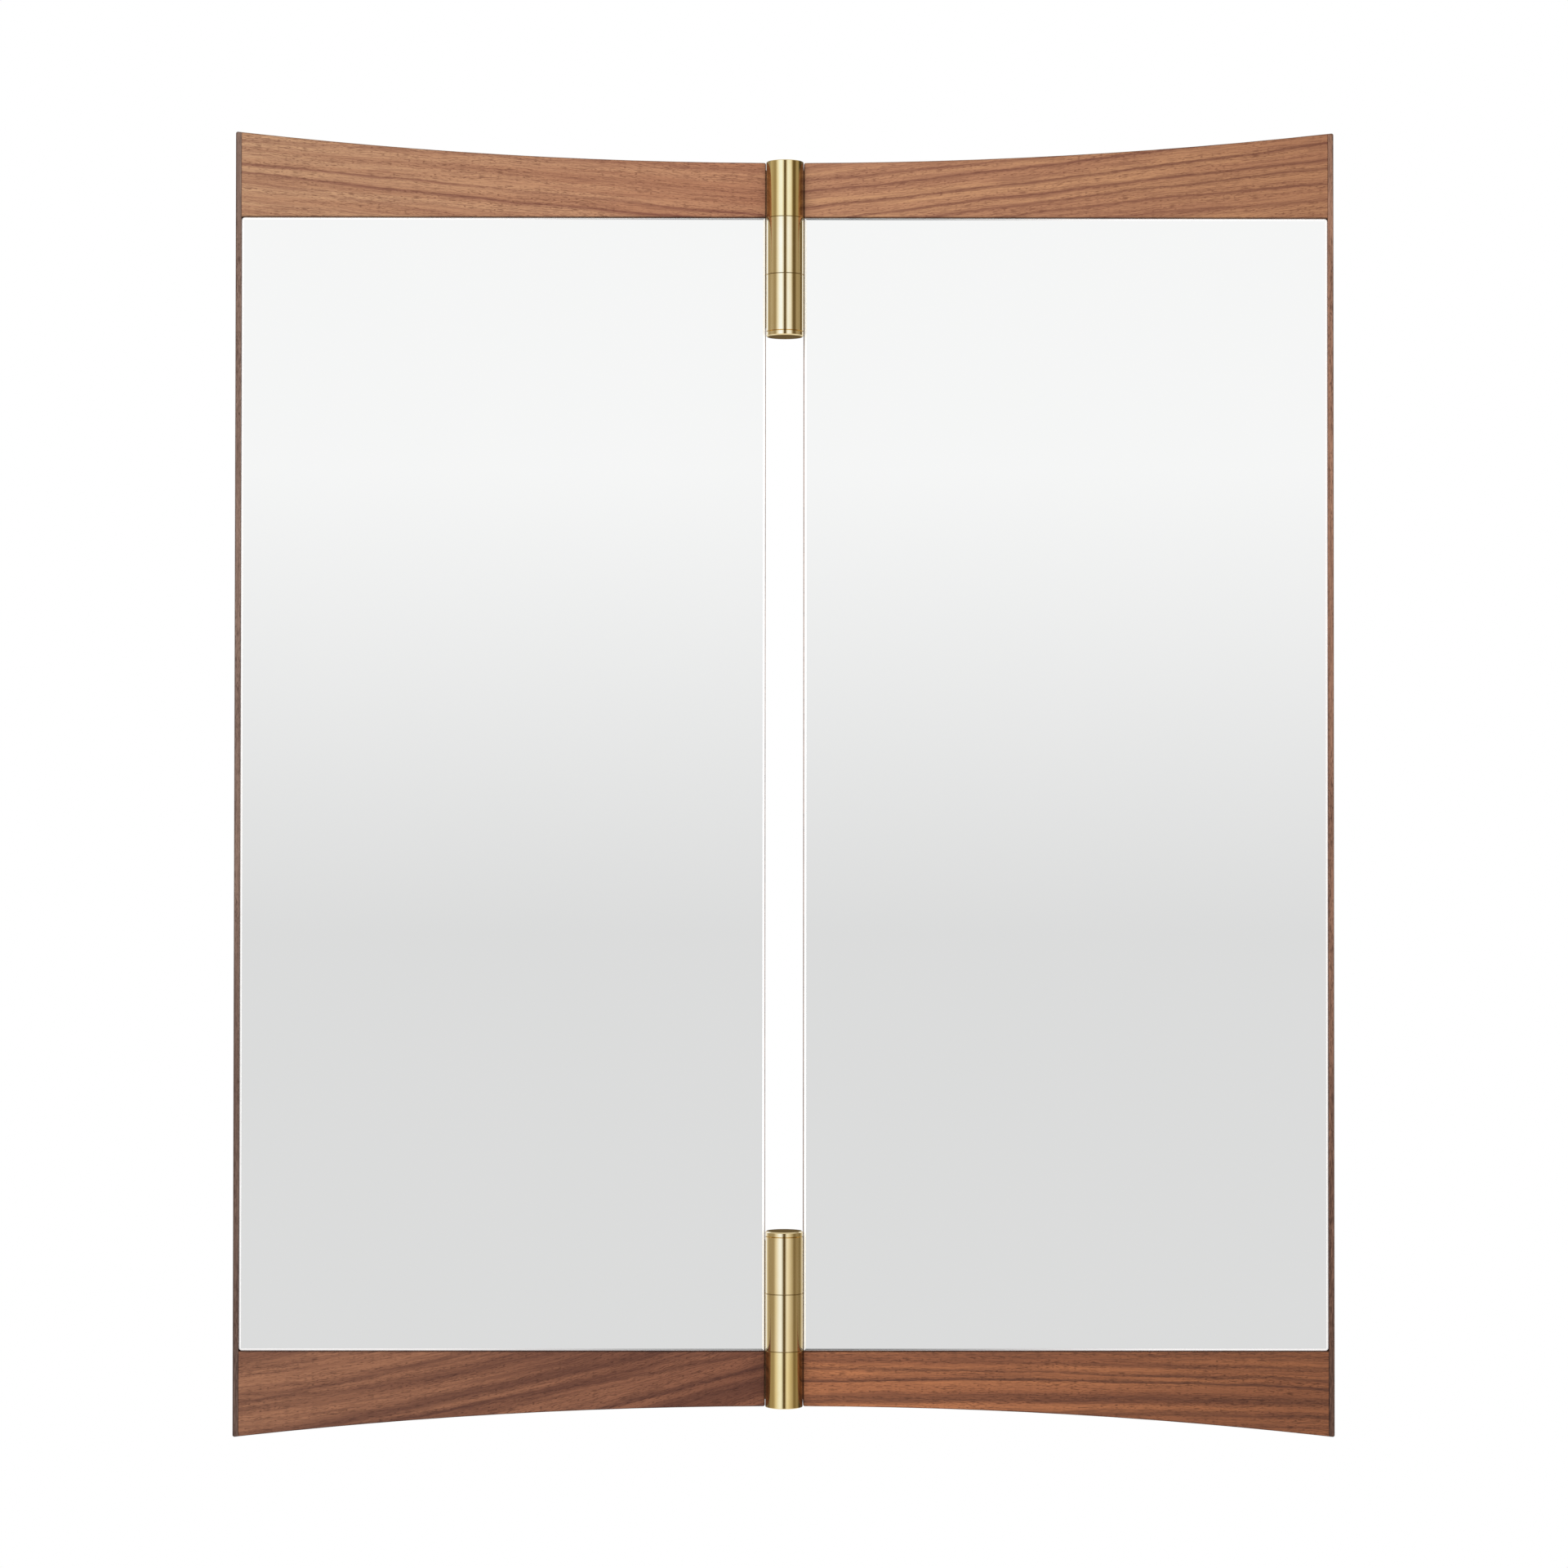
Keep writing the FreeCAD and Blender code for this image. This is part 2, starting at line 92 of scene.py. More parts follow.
# The studio that polished metal shows: angle from the camera's side, and how bright the soft boxes
# and the dark between them are at that angle, as seen from the upper and from the lower hinge
UPPER_BANDS = [
    (-180, 0.05), (-130, 0.40), (-98, 0.52), (-64, 0.24), (-58, 0.33), (-45, 1.30), (-33, 2.30),
    (-18, 2.40), (-12, 1.40), (-4, 0.06), (3, 0.03), (7, 0.26), (15, 1.75), (22, 1.95), (38, 1.45),
    (47, 0.25), (55, 0.05), (66, 0.07), (78, 0.32), (90, 0.28), (104, 0.02), (130, 0.30), (180, 0.05),
]
LOWER_BANDS = [
    (-180, 0.05), (-130, 0.30), (-111, 0.15), (-90, 0.26), (-68, 0.28), (-50, 0.90), (-28, 1.90),
    (-16, 1.75), (-5, 0.08), (1, 0.02), (6, 0.08), (15, 1.15), (24, 1.02), (40, 0.62), (52, 0.40),
    (64, 0.13), (72, 0.13), (86, 0.23), (113, 0.05), (130, 0.20), (180, 0.05),
]
UPPER_SLOPE, LOWER_SLOPE = 0.15, -0.13      # how steeply the camera looks at either hinge
STEEP_DOWN, STEEP_UP = (-0.20, -0.34), (0.5, 0.9)
STEEP_TONE = (0.8, 0.8, 0.8, 1.0)           # plain light far below and far above the horizon
DARK_POWERS, BRIGHT_POWERS = (0.65, 0.76), (0.23, 0.48)     # red and green against blue


def srgb(red, green, blue):
    """A colour as it is seen on a screen, from 0 to 255, as the linear values that shaders take."""
    levels = []
    for value in (red, green, blue):
        share = value / 255
        levels.append(share / 12.92 if share <= 0.04045 else ((share + 0.055) / 1.055) ** 2.4)
    return (*levels, 1.0)


class Graph:
    """A node tree with short ways to add to it."""

    MIX_FACTOR, MIX_FIRST, MIX_SECOND, MIX_RESULT = 0, 6, 7, 2     # sockets of a mix of colours

    def __init__(self, tree):
        self.tree = tree

    def node(self, kind, **settings):
        made = self.tree.nodes.new(kind)
        for name, value in settings.items():
            setattr(made, name, value)
        return made

    def put(self, socket, value):
        """Link a socket to another one, or set it to a constant."""
        if isinstance(value, bpy.types.NodeSocket):
            self.tree.links.new(value, socket)
        else:
            socket.default_value = value

    def math(self, operation, a, b=0.0, c=0.0, clamp=False):
        made = self.node("ShaderNodeMath", operation=operation, use_clamp=clamp)
        for socket, value in zip(made.inputs, (a, b, c)):
            self.put(socket, value)
        return made.outputs[0]

    def split(self, vector):
        made = self.node("ShaderNodeSeparateXYZ")
        self.put(made.inputs[0], vector)
        return made.outputs[0], made.outputs[1], made.outputs[2]

    def join(self, x, y, z):
        made = self.node("ShaderNodeCombineXYZ")
        for socket, value in zip(made.inputs, (x, y, z)):
            self.put(socket, value)
        return made.outputs[0]

    def span(self, value, low, high, to_low=0.0, to_high=1.0, smooth=True):
        """A value from one range carried over to another, and held at its ends."""
        kind = "SMOOTHSTEP" if smooth else "LINEAR"
        made = self.node("ShaderNodeMapRange", interpolation_type=kind, clamp=True)
        for name, number in zip(("Value", "From Min", "From Max", "To Min", "To Max"),
                                (value, low, high, to_low, to_high)):
            self.put(made.inputs[name], number)
        return made.outputs[0]

    def noise(self, vector, detail=3.0, roughness=0.55):
        made = self.node("ShaderNodeTexNoise")
        self.put(made.inputs["Vector"], vector)
        made.inputs["Scale"].default_value = 1.0
        made.inputs["Detail"].default_value = detail
        made.inputs["Roughness"].default_value = roughness
        return made.outputs["Fac"]

    def mix(self, factor, a, b, blend="MIX"):
        made = self.node("ShaderNodeMix", data_type="RGBA", blend_type=blend)
        self.put(made.inputs[self.MIX_FACTOR], factor)
        self.put(made.inputs[self.MIX_FIRST], a)
        self.put(made.inputs[self.MIX_SECOND], b)
        return made.outputs[self.MIX_RESULT]

    def ramp(self, value, stops):
        """Colours at given places from 0 to 1, and what lies between them."""
        made = self.node("ShaderNodeValToRGB")
        elements = made.color_ramp.elements
        while len(elements) < len(stops):
            elements.new(0.5)
        for element, (place, colour) in zip(elements, stops):
            element.position = place
            element.color = colour
        self.put(made.inputs[0], value)
        return made.outputs[0]


class Finish(Graph):
    """A material on the standard surface shader."""

    def __init__(self, name):
        self.material = bpy.data.materials.new(name)
        self.material.use_nodes = True
        super().__init__(self.material.node_tree)
        self.shader = self.tree.nodes["Principled BSDF"]

    def set(self, **values):
        for name, value in values.items():
            self.put(self.shader.inputs[name.replace("_", " ").title()], value)

    def place(self):
        """Position on the piece in its own frame, in millimetres."""
        coordinates = self.node("ShaderNodeTexCoord").outputs["Object"]
        scaled = self.node("ShaderNodeVectorMath", operation="SCALE")
        self.put(scaled.inputs[0], coordinates)
        scaled.inputs["Scale"].default_value = 1 / MM
        return self.split(scaled.outputs[0])

    def facing(self):
        """Direction that the surface looks in, in the piece's own frame."""
        return self.split(self.node("ShaderNodeTexCoord").outputs["Normal"])

    def grain(self, point, lengths, shift=0.0):
        """Coordinates stretched so that one unit of pattern covers the given millimetres."""
        x, y, z = (self.math("DIVIDE", p, size) for p, size in zip(point, lengths))
        return self.join(self.math("ADD", x, shift), y, self.math("ADD", z, shift))

    def along_rail(self, x):
        """0 at the hinge end of a rail and 1 at its outer end."""
        return self.span(self.math("ABSOLUTE", x), leaf_edge / MM, rail_end / MM, smooth=False)

    def bump(self, height, depth_mm):
        made = self.node("ShaderNodeBump")
        made.inputs["Distance"].default_value = depth_mm * MM
        self.put(made.inputs["Height"], height)
        self.put(self.shader.inputs["Normal"], made.outputs[0])


# Walnut

OIL_SHINE = 0.2
OIL_ROUGHNESS = 0.46
FIBRE_ROUGHNESS = 0.12                  # added on the fibres
PORE_ROUGHNESS = 0.2                    # added in the pores
RELIEF = 0.04
PLAIN = (1.0, 1.0, 1.0, 1.0)
PAINTED_RIM_SHADE = (0.62, 0.62, 0.62, 1.0)     # painted shade on the broken edges
RIM_OUTER, RIM_INNER = (0.97, 0.90), (0.30, 0.50)       # how squarely those edges face the front
GLASS_LINE_PAINTED_SHADE = 0.5                        # painted shade of the line along the glass, where the rail meets it
SEAM_BAND = (0.2, 0.8)                  # distance from the glass over which that line fades

# Patterns of the wood: their size along the grain, through it and across it, and what counts of them
TONE_SIZE, TONE_RANGE = (150.0, 9.0, 5.0), (0.36, 0.66)
FIBRE_SIZE, FIBRE_RANGE = (28.0, 0.8, 0.6), (0.60, 0.32)
DASH_SIZE, DASH_RANGE = (5.0, 0.5, 0.40), (0.52, 0.74)
DOT_SIZE, DOT_RANGE = (2.0, 0.5, 0.40), (0.54, 0.76)
CLUMP_SIZE, CLUMP_RANGE = (50.0, 5.0, 2.4), (0.32, 0.62)
FIBRE_SHADE = 0.42
PORE_SHADE = 0.68
CLUMP_LEAST = 0.35                      # share of the pores left between the clumps

# Streaks of a rail
SLOW_SIZE, SLOW_WANDER = (45.0, 40.0, 14.0), 2.6
FAST_SIZE = (8.0, 6.0, 3.0)
DEPTH_LEAN = 0.5                        # rise of the streaks through the thickness
SOFT_SIDE = 2.2                         # fading side of a streak against its crisp side
STREAK_LIMIT = 0.9
BREAK_RANGE, BREAK_LEAST = (0.30, 0.56), 0.7            # pores break the streaks up


class Board:
    """What one rail or strip shows.

    Heights in a rail are millimetres from the glass line, first at the hinge, then at the outer end.
    """

    def __init__(self, light, middle, dark, pore, seed, ends=(PLAIN, PLAIN), flow=0.0, bend=0.0,
                 wave=0.8, streaks=(), front_painted_light=PLAIN):
        self.light = light
        self.middle = middle
        self.dark = dark
        self.pore = pore
        self.seed = seed
        self.ends = ends            # tint at the hinge and at the outer end
        self.flow = flow            # rise of the fibres along the rail
        self.bend = bend            # how far they bow on the way
        self.wave = wave            # how far they waver
        self.streaks = streaks      # start, end, bow, width, strength; a pale streak has a negative strength
        self.front_painted_light = front_painted_light          # painted light: tint that makes the face and front edges of a strip paler


# The bottom rails' colours are darker than the top rails': partly their own tone, partly painted shade, as
# if lit from above.
BOARDS = {
    "left_top_rail": Board(
        srgb(204, 154, 118), srgb(190, 138, 105), srgb(128, 78, 64), srgb(112, 70, 54), 1.7,
        ends=((0.91, 0.82, 0.79, 1.0), (0.98, 1.05, 1.05, 1.0)),
        flow=24.0,
        streaks=[
            (0.6, 28.7, 0.6, 0.5, 0.85),
            (-2.7, 24.3, -1.7, 0.5, 0.85),
            (25.0, 41.5, -0.4, 0.7, 0.40),
            (-26.0, 19.5, 0.0, 0.6, 0.30),
            (13.0, 37.0, 0.0, 0.8, 0.20),
            (5.0, 26.5, -0.8, 1.2, -0.45),
        ],
    ),
    "right_top_rail": Board(
        srgb(202, 148, 110), srgb(186, 132, 100), srgb(122, 74, 60), srgb(120, 74, 58), 4.3,
        ends=((1.07, 1.11, 1.10, 1.0), (0.82, 0.78, 0.73, 1.0)),
        flow=30.0,
        streaks=[
            (26.5, 72.0, -0.4, 0.6, 0.60),
            (19.5, 49.8, -0.4, 0.5, 0.65),
            (13.5, 48.8, -1.4, 0.5, 0.80),
            (5.5, 40.8, -1.4, 0.5, 0.80),
            (-3.0, 31.8, 0.8, 0.5, 0.75),
            (-9.0, 27.2, 1.1, 0.5, 0.65),
            (-16.0, 18.6, 3.6, 0.5, 0.65),
            (-12.0, 9.8, 0.4, 0.5, 0.50),
        ],
    ),
    "left_bottom_rail": Board(
        srgb(164, 112, 86), srgb(136, 90, 70), srgb(88, 54, 46), srgb(78, 48, 40), 7.9,
        ends=((0.74, 0.65, 0.61, 1.0), (1.10, 1.14, 1.07, 1.0)),
        flow=60.0,
        bend=7.0,
        wave=1.8,
        streaks=[
            (8.0, 84.0, 0.0, 1.0, 0.75),
            (11.5, 86.0, 0.0, 0.9, -0.75),
            (16.0, 92.0, 0.0, 2.4, 0.60),
            (0.5, 52.0, 0.0, 0.6, 0.45),
            (-11.0, 50.0, 0.0, 1.6, 0.50),
            (-5.0, 56.0, 0.0, 0.6, 0.35),
            (-26.0, 32.0, 4.0, 1.2, 0.24),
            (-45.0, 28.0, 5.0, 0.8, 0.40),
            (-62.0, 8.0, 4.0, 2.0, 0.22),
        ],
    ),
    "right_bottom_rail": Board(
        srgb(184, 119, 82), srgb(158, 100, 71), srgb(86, 54, 45), srgb(76, 46, 36), 12.1,
        ends=((1.18, 1.17, 1.08, 1.0), (0.69, 0.66, 0.61, 1.0)),
        flow=3.0,
        streaks=[
            (16.0, 20.0, -2.2, 0.5, 0.95),
            (9.0, 15.8, -0.7, 0.45, 0.60),
            (5.0, 9.8, -0.7, 0.6, 0.40),
            (27.0, 27.8, -1.2, 2.0, 0.58),
            (20.5, 23.3, -1.7, 1.6, -0.50),
            (31.0, 32.3, -2.2, 0.9, -0.70),
            (33.5, 35.8, -1.7, 0.8, 0.45),
            (2.0, 4.0, -1.0, 1.6, 0.35),
        ],
    ),
}


def streak_shade(wood, off, width):
    """1 along the middle of a streak, with one crisp side and one that fades."""
    crisp = wood.math("DIVIDE", wood.math("MAXIMUM", off, 0.0), width)
    soft = wood.math("DIVIDE", wood.math("MINIMUM", off, 0.0), width * SOFT_SIDE)
    square = wood.math("POWER", wood.math("SUBTRACT", crisp, soft), 2.0)
    return wood.math("EXPONENT", wood.math("MULTIPLY", square, -1.0))


def walnut_surface(wood, board, point, figure, tint_and_painted_light):
    """Colour, gloss and relief of oiled walnut.

    The point runs along the grain, through it and across it.
    The figure is positive in dark streaks and negative in pale ones.
    """
    tone = wood.noise(wood.grain(point, TONE_SIZE, board.seed), detail=2.0)
    fibre = wood.noise(wood.grain(point, FIBRE_SIZE, board.seed * 2), detail=2.0, roughness=0.6)
    dashes = wood.noise(wood.grain(point, DASH_SIZE, board.seed * 3), detail=0.0)
    dots = wood.noise(wood.grain(point, DOT_SIZE, board.seed * 5), detail=0.0)
    clump = wood.noise(wood.grain(point, CLUMP_SIZE, board.seed * 7), detail=1.0)
    pores = wood.math("MAXIMUM", wood.span(dashes, *DASH_RANGE), wood.span(dots, *DOT_RANGE))
    pores = wood.math("MULTIPLY", pores, wood.span(clump, *CLUMP_RANGE, CLUMP_LEAST, 1.0))

    colour = wood.mix(wood.span(tone, *TONE_RANGE), board.middle, board.light)
    colour = wood.mix(wood.span(fibre, *FIBRE_RANGE, 0.0, FIBRE_SHADE), colour, board.dark)
    colour = wood.mix(wood.math("MULTIPLY", figure, -1.0, clamp=True), colour, board.light)
    unbroken = wood.span(dashes, *BREAK_RANGE, BREAK_LEAST, 1.0)
    broken = wood.math("MULTIPLY", wood.math("MAXIMUM", figure, 0.0), unbroken)
    colour = wood.mix(broken, colour, board.dark)
    colour = wood.mix(wood.math("MULTIPLY", pores, PORE_SHADE), colour, board.pore)
    # Painted shade: the broken edges of the wood are darkened.
    slant = wood.math("ABSOLUTE", wood.facing()[1])
    rim = wood.math("MULTIPLY", wood.span(slant, *RIM_OUTER), wood.span(slant, *RIM_INNER))
    colour = wood.mix(1.0, colour, tint_and_painted_light, "MULTIPLY")
    colour = wood.mix(1.0, colour, wood.mix(rim, PLAIN, PAINTED_RIM_SHADE), "MULTIPLY")

    gloss = wood.math("MULTIPLY_ADD", fibre, FIBRE_ROUGHNESS, OIL_ROUGHNESS)
    wood.set(base_color=colour, roughness=wood.math("MULTIPLY_ADD", pores, PORE_ROUGHNESS, gloss))
    wood.shader.inputs["Specular IOR Level"].default_value = OIL_SHINE
    relief = wood.math("SUBTRACT", wood.math("MULTIPLY", fibre, 0.5), pores)
    wood.bump(relief, RELIEF)


def make_rail_finish(name, board):
    """Grain along X that follows the streaks of this rail."""
    wood = Finish(name + "_walnut")
    x, y, z = wood.place()
    share = wood.along_rail(x)
    hump = wood.math("MULTIPLY", share, wood.math("SUBTRACT", 1.0, share))
    hump = wood.math("MULTIPLY", hump, 4.0)
    slow = wood.noise(wood.grain((x, y, z), SLOW_SIZE, board.seed), detail=1.0)
    fast = wood.noise(wood.grain((x, y, z), FAST_SIZE, board.seed), detail=2.0)
    wander = wood.math("MULTIPLY", wood.math("SUBTRACT", fast, 0.5), board.wave)
    wander = wood.math("MULTIPLY_ADD", wood.math("SUBTRACT", slow, 0.5), SLOW_WANDER, wander)
    height = wood.math("SUBTRACT", wood.math("ABSOLUTE", z), glass_line / MM)
    # Painted shade: a dark line on the rail along the glass.
    painted_seam_shade = wood.span(height, *SEAM_BAND, GLASS_LINE_PAINTED_SHADE, 1.0)
    depth = wood.math("SUBTRACT", y, wood_face / MM)
    height = wood.math("ADD", wood.math("MULTIPLY_ADD", depth, DEPTH_LEAN, height), wander)

    def path(start, end, bow):
        straight = wood.math("MULTIPLY_ADD", share, end - start, start)
        return wood.math("MULTIPLY_ADD", hump, bow, straight)

    figure = 0.0
    for start, end, bow, width, strength in board.streaks:
        shade = streak_shade(wood, wood.math("SUBTRACT", height, path(start, end, bow)), width)
        figure = wood.math("MULTIPLY_ADD", shade, strength, figure)
    figure = wood.math("MINIMUM", figure, STREAK_LIMIT)
    across = wood.math("SUBTRACT", height, path(0.0, board.flow, board.bend))
    tint_and_painted_light = wood.mix(1.0, wood.mix(share, *board.ends), painted_seam_shade, "MULTIPLY")
    walnut_surface(wood, board, (x, y, across), figure, tint_and_painted_light)
    return wood.material


FOOT_SHADE = 0.75
LINE_SIZE, LINE_RANGE = (120.0, 1.6, 2.2), (0.52, 0.70)
LINE_SHADE = 0.4
STRIP_FRONT = (-0.35, -0.60)                # how squarely the front of a strip faces the viewer
PAINTED_LIGHT_THROUGH_GLASS = (2.8, 3.6, 4.2, 1.0)    # painted light: strips beside the barrels, behind the pale edge of the glass, painted paler at the front
STRIP_BOARDS = {
    "left_outer_strip": Board(
        srgb(149, 122, 107), srgb(129, 104, 91), srgb(86, 64, 55), srgb(74, 54, 46), 3.1,
    ),
    "right_outer_strip": Board(
        srgb(172, 128, 104), srgb(152, 111, 90), srgb(62, 41, 33), srgb(66, 45, 37), 9.4,
    ),
    "left_inner_strip": Board(
        srgb(160, 122, 102), srgb(142, 104, 86), srgb(92, 66, 54), srgb(88, 62, 51), 5.2,
        front_painted_light=PAINTED_LIGHT_THROUGH_GLASS,
    ),
    "right_inner_strip": Board(
        srgb(160, 122, 102), srgb(142, 104, 86), srgb(92, 66, 54), srgb(88, 62, 51), 6.8,
        front_painted_light=PAINTED_LIGHT_THROUGH_GLASS,
    ),
}


def make_strip_finish(name, board):
    """Grain along Z, a little darker towards the foot."""
    wood = Finish(name + "_walnut")
    x, y, z = wood.place()
    foot = wood.span(z, -half_height / MM, 0.0, FOOT_SHADE, 0.0)
    lines = wood.noise(wood.grain((z, x, y), LINE_SIZE, board.seed), detail=2.0)
    figure = wood.math("ADD", foot, wood.span(lines, *LINE_RANGE, 0.0, LINE_SHADE), clamp=True)
    # Painted light: the fronts of the inner strips are painted paler.
    tint_and_painted_light = wood.mix(wood.span(wood.facing()[1], *STRIP_FRONT), PLAIN, board.front_painted_light)
    walnut_surface(wood, board, (z, x, y), figure, tint_and_painted_light)
    return wood.material


# Glass

SILVER_TONES = (0.972, 0.980, 0.976, 1.0), (0.984, 0.988, 0.986, 1.0)
SILVER_SIZE = (90.0, 90.0, 120.0)
# The edge tones are near white: partly the ground glass's own pale tone, partly painted reflection of the
# bright room on the polished bevel.
EDGE_TONES = srgb(248, 251, 250), srgb(253, 254, 254)
PAINT_TONES = srgb(98, 106, 102), srgb(116, 123, 119)
GROUND_SIZE = (0.7, 0.7, 0.7)
DULL_ROUGHNESS = 0.28           # of the edges and the painted back
FACE_FACING, BACK_FACING = (-0.99, -0.97), (0.97, 0.99)
ARRIS_OUTER, ARRIS_INNER = (-0.97, -0.90), (-0.50, -0.60)
ARRIS_PAINTED_GLOW = 0.45               # painted light: glow of the bevel, standing in for light that the silver behind it sends on
DEEPEST_IMAGE = 2.5             # painted reflection: where mirrors folded together face each other, from the third image on the face turns black and glows with the room's lower level

# Painted reflection and shade: beside the hinges the bevel along a rail is painted with the dark seam
# instead of the silver
SEAM_REACH = 0.7                # share of a rail
SEAM_FACING = (0.4, 0.6)        # bevels that look up or down
SEAM_LINE = (glass_top / MM - 0.4, glass_top / MM - 0.6)     # darker on the side of the face
SEAM_SIDES = (0.75, 1.0)        # left leaf and right leaf
SEAM_DIMMING = 0.8
PAINTED_SEAM_TONE = srgb(132, 140, 143)
MIDDLE = (-1.0, 1.0)            # where left turns into right


def make_mirror():
    """Silvered glass: a clear face, a pale polished edge with painted glow and painted seam shade, and a
    grey-green painted back.
    """
    glass = Finish("silvered_glass")
    x, y, z = glass.place()
    facing_y, facing_z = glass.facing()[1:]
    face = glass.span(facing_y, *FACE_FACING, 1.0, 0.0, smooth=False)
    back = glass.span(facing_y, *BACK_FACING, smooth=False)
    arris = glass.math("MULTIPLY", glass.span(facing_y, *ARRIS_OUTER), glass.span(facing_y, *ARRIS_INNER))
    near_hinge = glass.span(glass.along_rail(x), 0.0, SEAM_REACH, 1.0, 0.0)
    upright = glass.span(glass.math("ABSOLUTE", facing_z), *SEAM_FACING)
    painted_seam_shade = glass.math("MULTIPLY", near_hinge, upright)
    painted_seam_shade = glass.math("MULTIPLY", painted_seam_shade, glass.span(x, *MIDDLE, *SEAM_SIDES))
    line = glass.math("MULTIPLY", painted_seam_shade, glass.span(glass.math("ABSOLUTE", z), *SEAM_LINE))
    cloud = glass.noise(glass.grain((x, y, z), SILVER_SIZE), detail=2.0)
    silver = glass.mix(cloud, *SILVER_TONES)
    ground = glass.noise(glass.grain((x, y, z), GROUND_SIZE), detail=2.0)
    # Painted shade: the bevel beside the hinges is painted slate grey.
    edge = glass.mix(line, glass.mix(ground, *EDGE_TONES), PAINTED_SEAM_TONE)
    paint = glass.mix(ground, *PAINT_TONES)
    # Painted reflection: from the third image on, the silver turns black and glows like the room below the
    # horizon.
    images = glass.node("ShaderNodeLightPath").outputs["Glossy Depth"]
    painted_deep_image = glass.math("MULTIPLY", glass.math("GREATER_THAN", images, DEEPEST_IMAGE), face)
    colour = glass.mix(face, glass.mix(back, edge, paint), glass.mix(painted_deep_image, silver, BLACK))
    dull = glass.math("SUBTRACT", 1.0, face)
    glass.set(base_color=colour, metallic=face, roughness=glass.math("MULTIPLY", dull, DULL_ROUGHNESS))
    # Painted light: the bevel glows, less beside the hinges and not on the dark line.
    glow = glass.math("MULTIPLY", arris, glass.math("MULTIPLY_ADD", painted_seam_shade, -SEAM_DIMMING, 1.0))
    glow = glass.math("MULTIPLY", glow, glass.math("SUBTRACT", 1.0, line))
    glow = glass.math("MULTIPLY_ADD", glow, ARRIS_PAINTED_GLOW, glass.math("MULTIPLY", painted_deep_image, SKY_LOW_LEVEL))
    glass.set(emission_color=WHITE, emission_strength=glow)
    return glass.material


# Metal

RING_SIZE, RING_RELIEF = (60.0, 60.0, 0.22), 0.0015     # marks of the lathe, round the barrel
RING_ROUGHNESS = (0.06, 0.13)
TARNISH_SIZE = (9.0, 9.0, 14.0)
NOISE_RANGE = (0.3, 0.7)        # most of what a noise gives
GROOVE_SHARE = 0.96             # of the barrel's radius; what lies deeper is a groove
GROOVE_EDGE = 0.1
GROOVE_FACING = (0.3, 0.6)      # faces that look up or down are ends, not grooves
GROOVE_SHADE_TONE = srgb(150, 122, 72)
GROOVE_ROUGHNESS = 0.25
PAINTED_REFLECTION_FROM = (7.2, 8.4)        # from the middle of a barrel: painted reflection of the wood on the barrel's sides beside the rails
PAINTED_REFLECTION_EDGE = 0.5               # above and below the glass line
PAINTED_REFLECTION_SIDES = (0.45, 0.68)     # left and right
PAINTED_REFLECTION_TONE = srgb(60, 40, 20)


def make_brass(name, clean, tarnished):
    """Turned and polished brass.

    It has fine rings round the barrel, faint tarnish, dull grooves between the knuckles with painted shade
    in them, and a painted reflection of the wood on its sides beside the rails.
    """
    metal = Finish(name)
    x, y, z = metal.place()
    end_on = metal.math("ABSOLUTE", metal.facing()[2])
    rings = metal.noise(metal.grain((x, y, z), RING_SIZE), detail=2.0, roughness=0.7)
    tarnish = metal.noise(metal.grain((x, y, z), TARNISH_SIZE), detail=4.0, roughness=0.6)
    colour = metal.mix(metal.span(tarnish, *NOISE_RANGE), clean, tarnished)
    from_axis = metal.math("SUBTRACT", y, axis_y / MM)
    square = metal.math("ADD", metal.math("POWER", x, 2.0), metal.math("POWER", from_axis, 2.0))
    radius = metal.math("SQRT", square)
    rim = barrel_radius / MM
    sunk = metal.span(radius, GROOVE_SHARE * rim, rim - GROOVE_EDGE, 1.0, 0.0)
    groove = metal.math("MULTIPLY", sunk, metal.span(end_on, *GROOVE_FACING, 1.0, 0.0))
    # Painted shade: the grooves between the knuckles are darker as well as duller.
    colour = metal.mix(groove, colour, GROOVE_SHADE_TONE)
    line = glass_line / MM
    # Painted reflection: the sides of the barrels beside the rails are painted dark brown in place of the
    # wood they reflect.
    rail = metal.span(metal.math("ABSOLUTE", z), line - PAINTED_REFLECTION_EDGE, line + PAINTED_REFLECTION_EDGE)
    beside = metal.math("MULTIPLY", metal.span(metal.math("ABSOLUTE", x), *PAINTED_REFLECTION_FROM), rail)
    painted_reflection = metal.math("MULTIPLY", beside, metal.span(x, *MIDDLE, *PAINTED_REFLECTION_SIDES))
    colour = metal.mix(painted_reflection, colour, PAINTED_REFLECTION_TONE)
    gloss = metal.span(rings, *NOISE_RANGE, *RING_ROUGHNESS)
    metal.set(base_color=colour, metallic=1.0)
    metal.set(roughness=metal.math("MULTIPLY_ADD", groove, GROOVE_ROUGHNESS, gloss))
    metal.bump(rings, RING_RELIEF)
    return metal.material


ROLLED_SIZE, ROLLED_RELIEF = (14.0, 1.2, 0.35), 0.004
ROLLED_ROUGHNESS = (0.26, 0.42)
SPANGLE_SIZE = (4.0, 4.0, 4.0)
ZINC_TONES = srgb(176, 178, 180), srgb(200, 201, 202)


def make_steel():
    """Zinc-plated steel with a rolled grain."""
    metal = Finish("zinc_steel")
    point = metal.place()
    rolled = metal.noise(metal.grain(point, ROLLED_SIZE), detail=3.0)
    spangle = metal.noise(metal.grain(point, SPANGLE_SIZE), detail=2.0)
    metal.set(base_color=metal.mix(spangle, *ZINC_TONES), metallic=1.0)
    metal.set(roughness=metal.span(rolled, *NOISE_RANGE, *ROLLED_ROUGHNESS))
    metal.bump(rolled, ROLLED_RELIEF)
    return metal.material


# Board, tape, rubber, nylon and beech

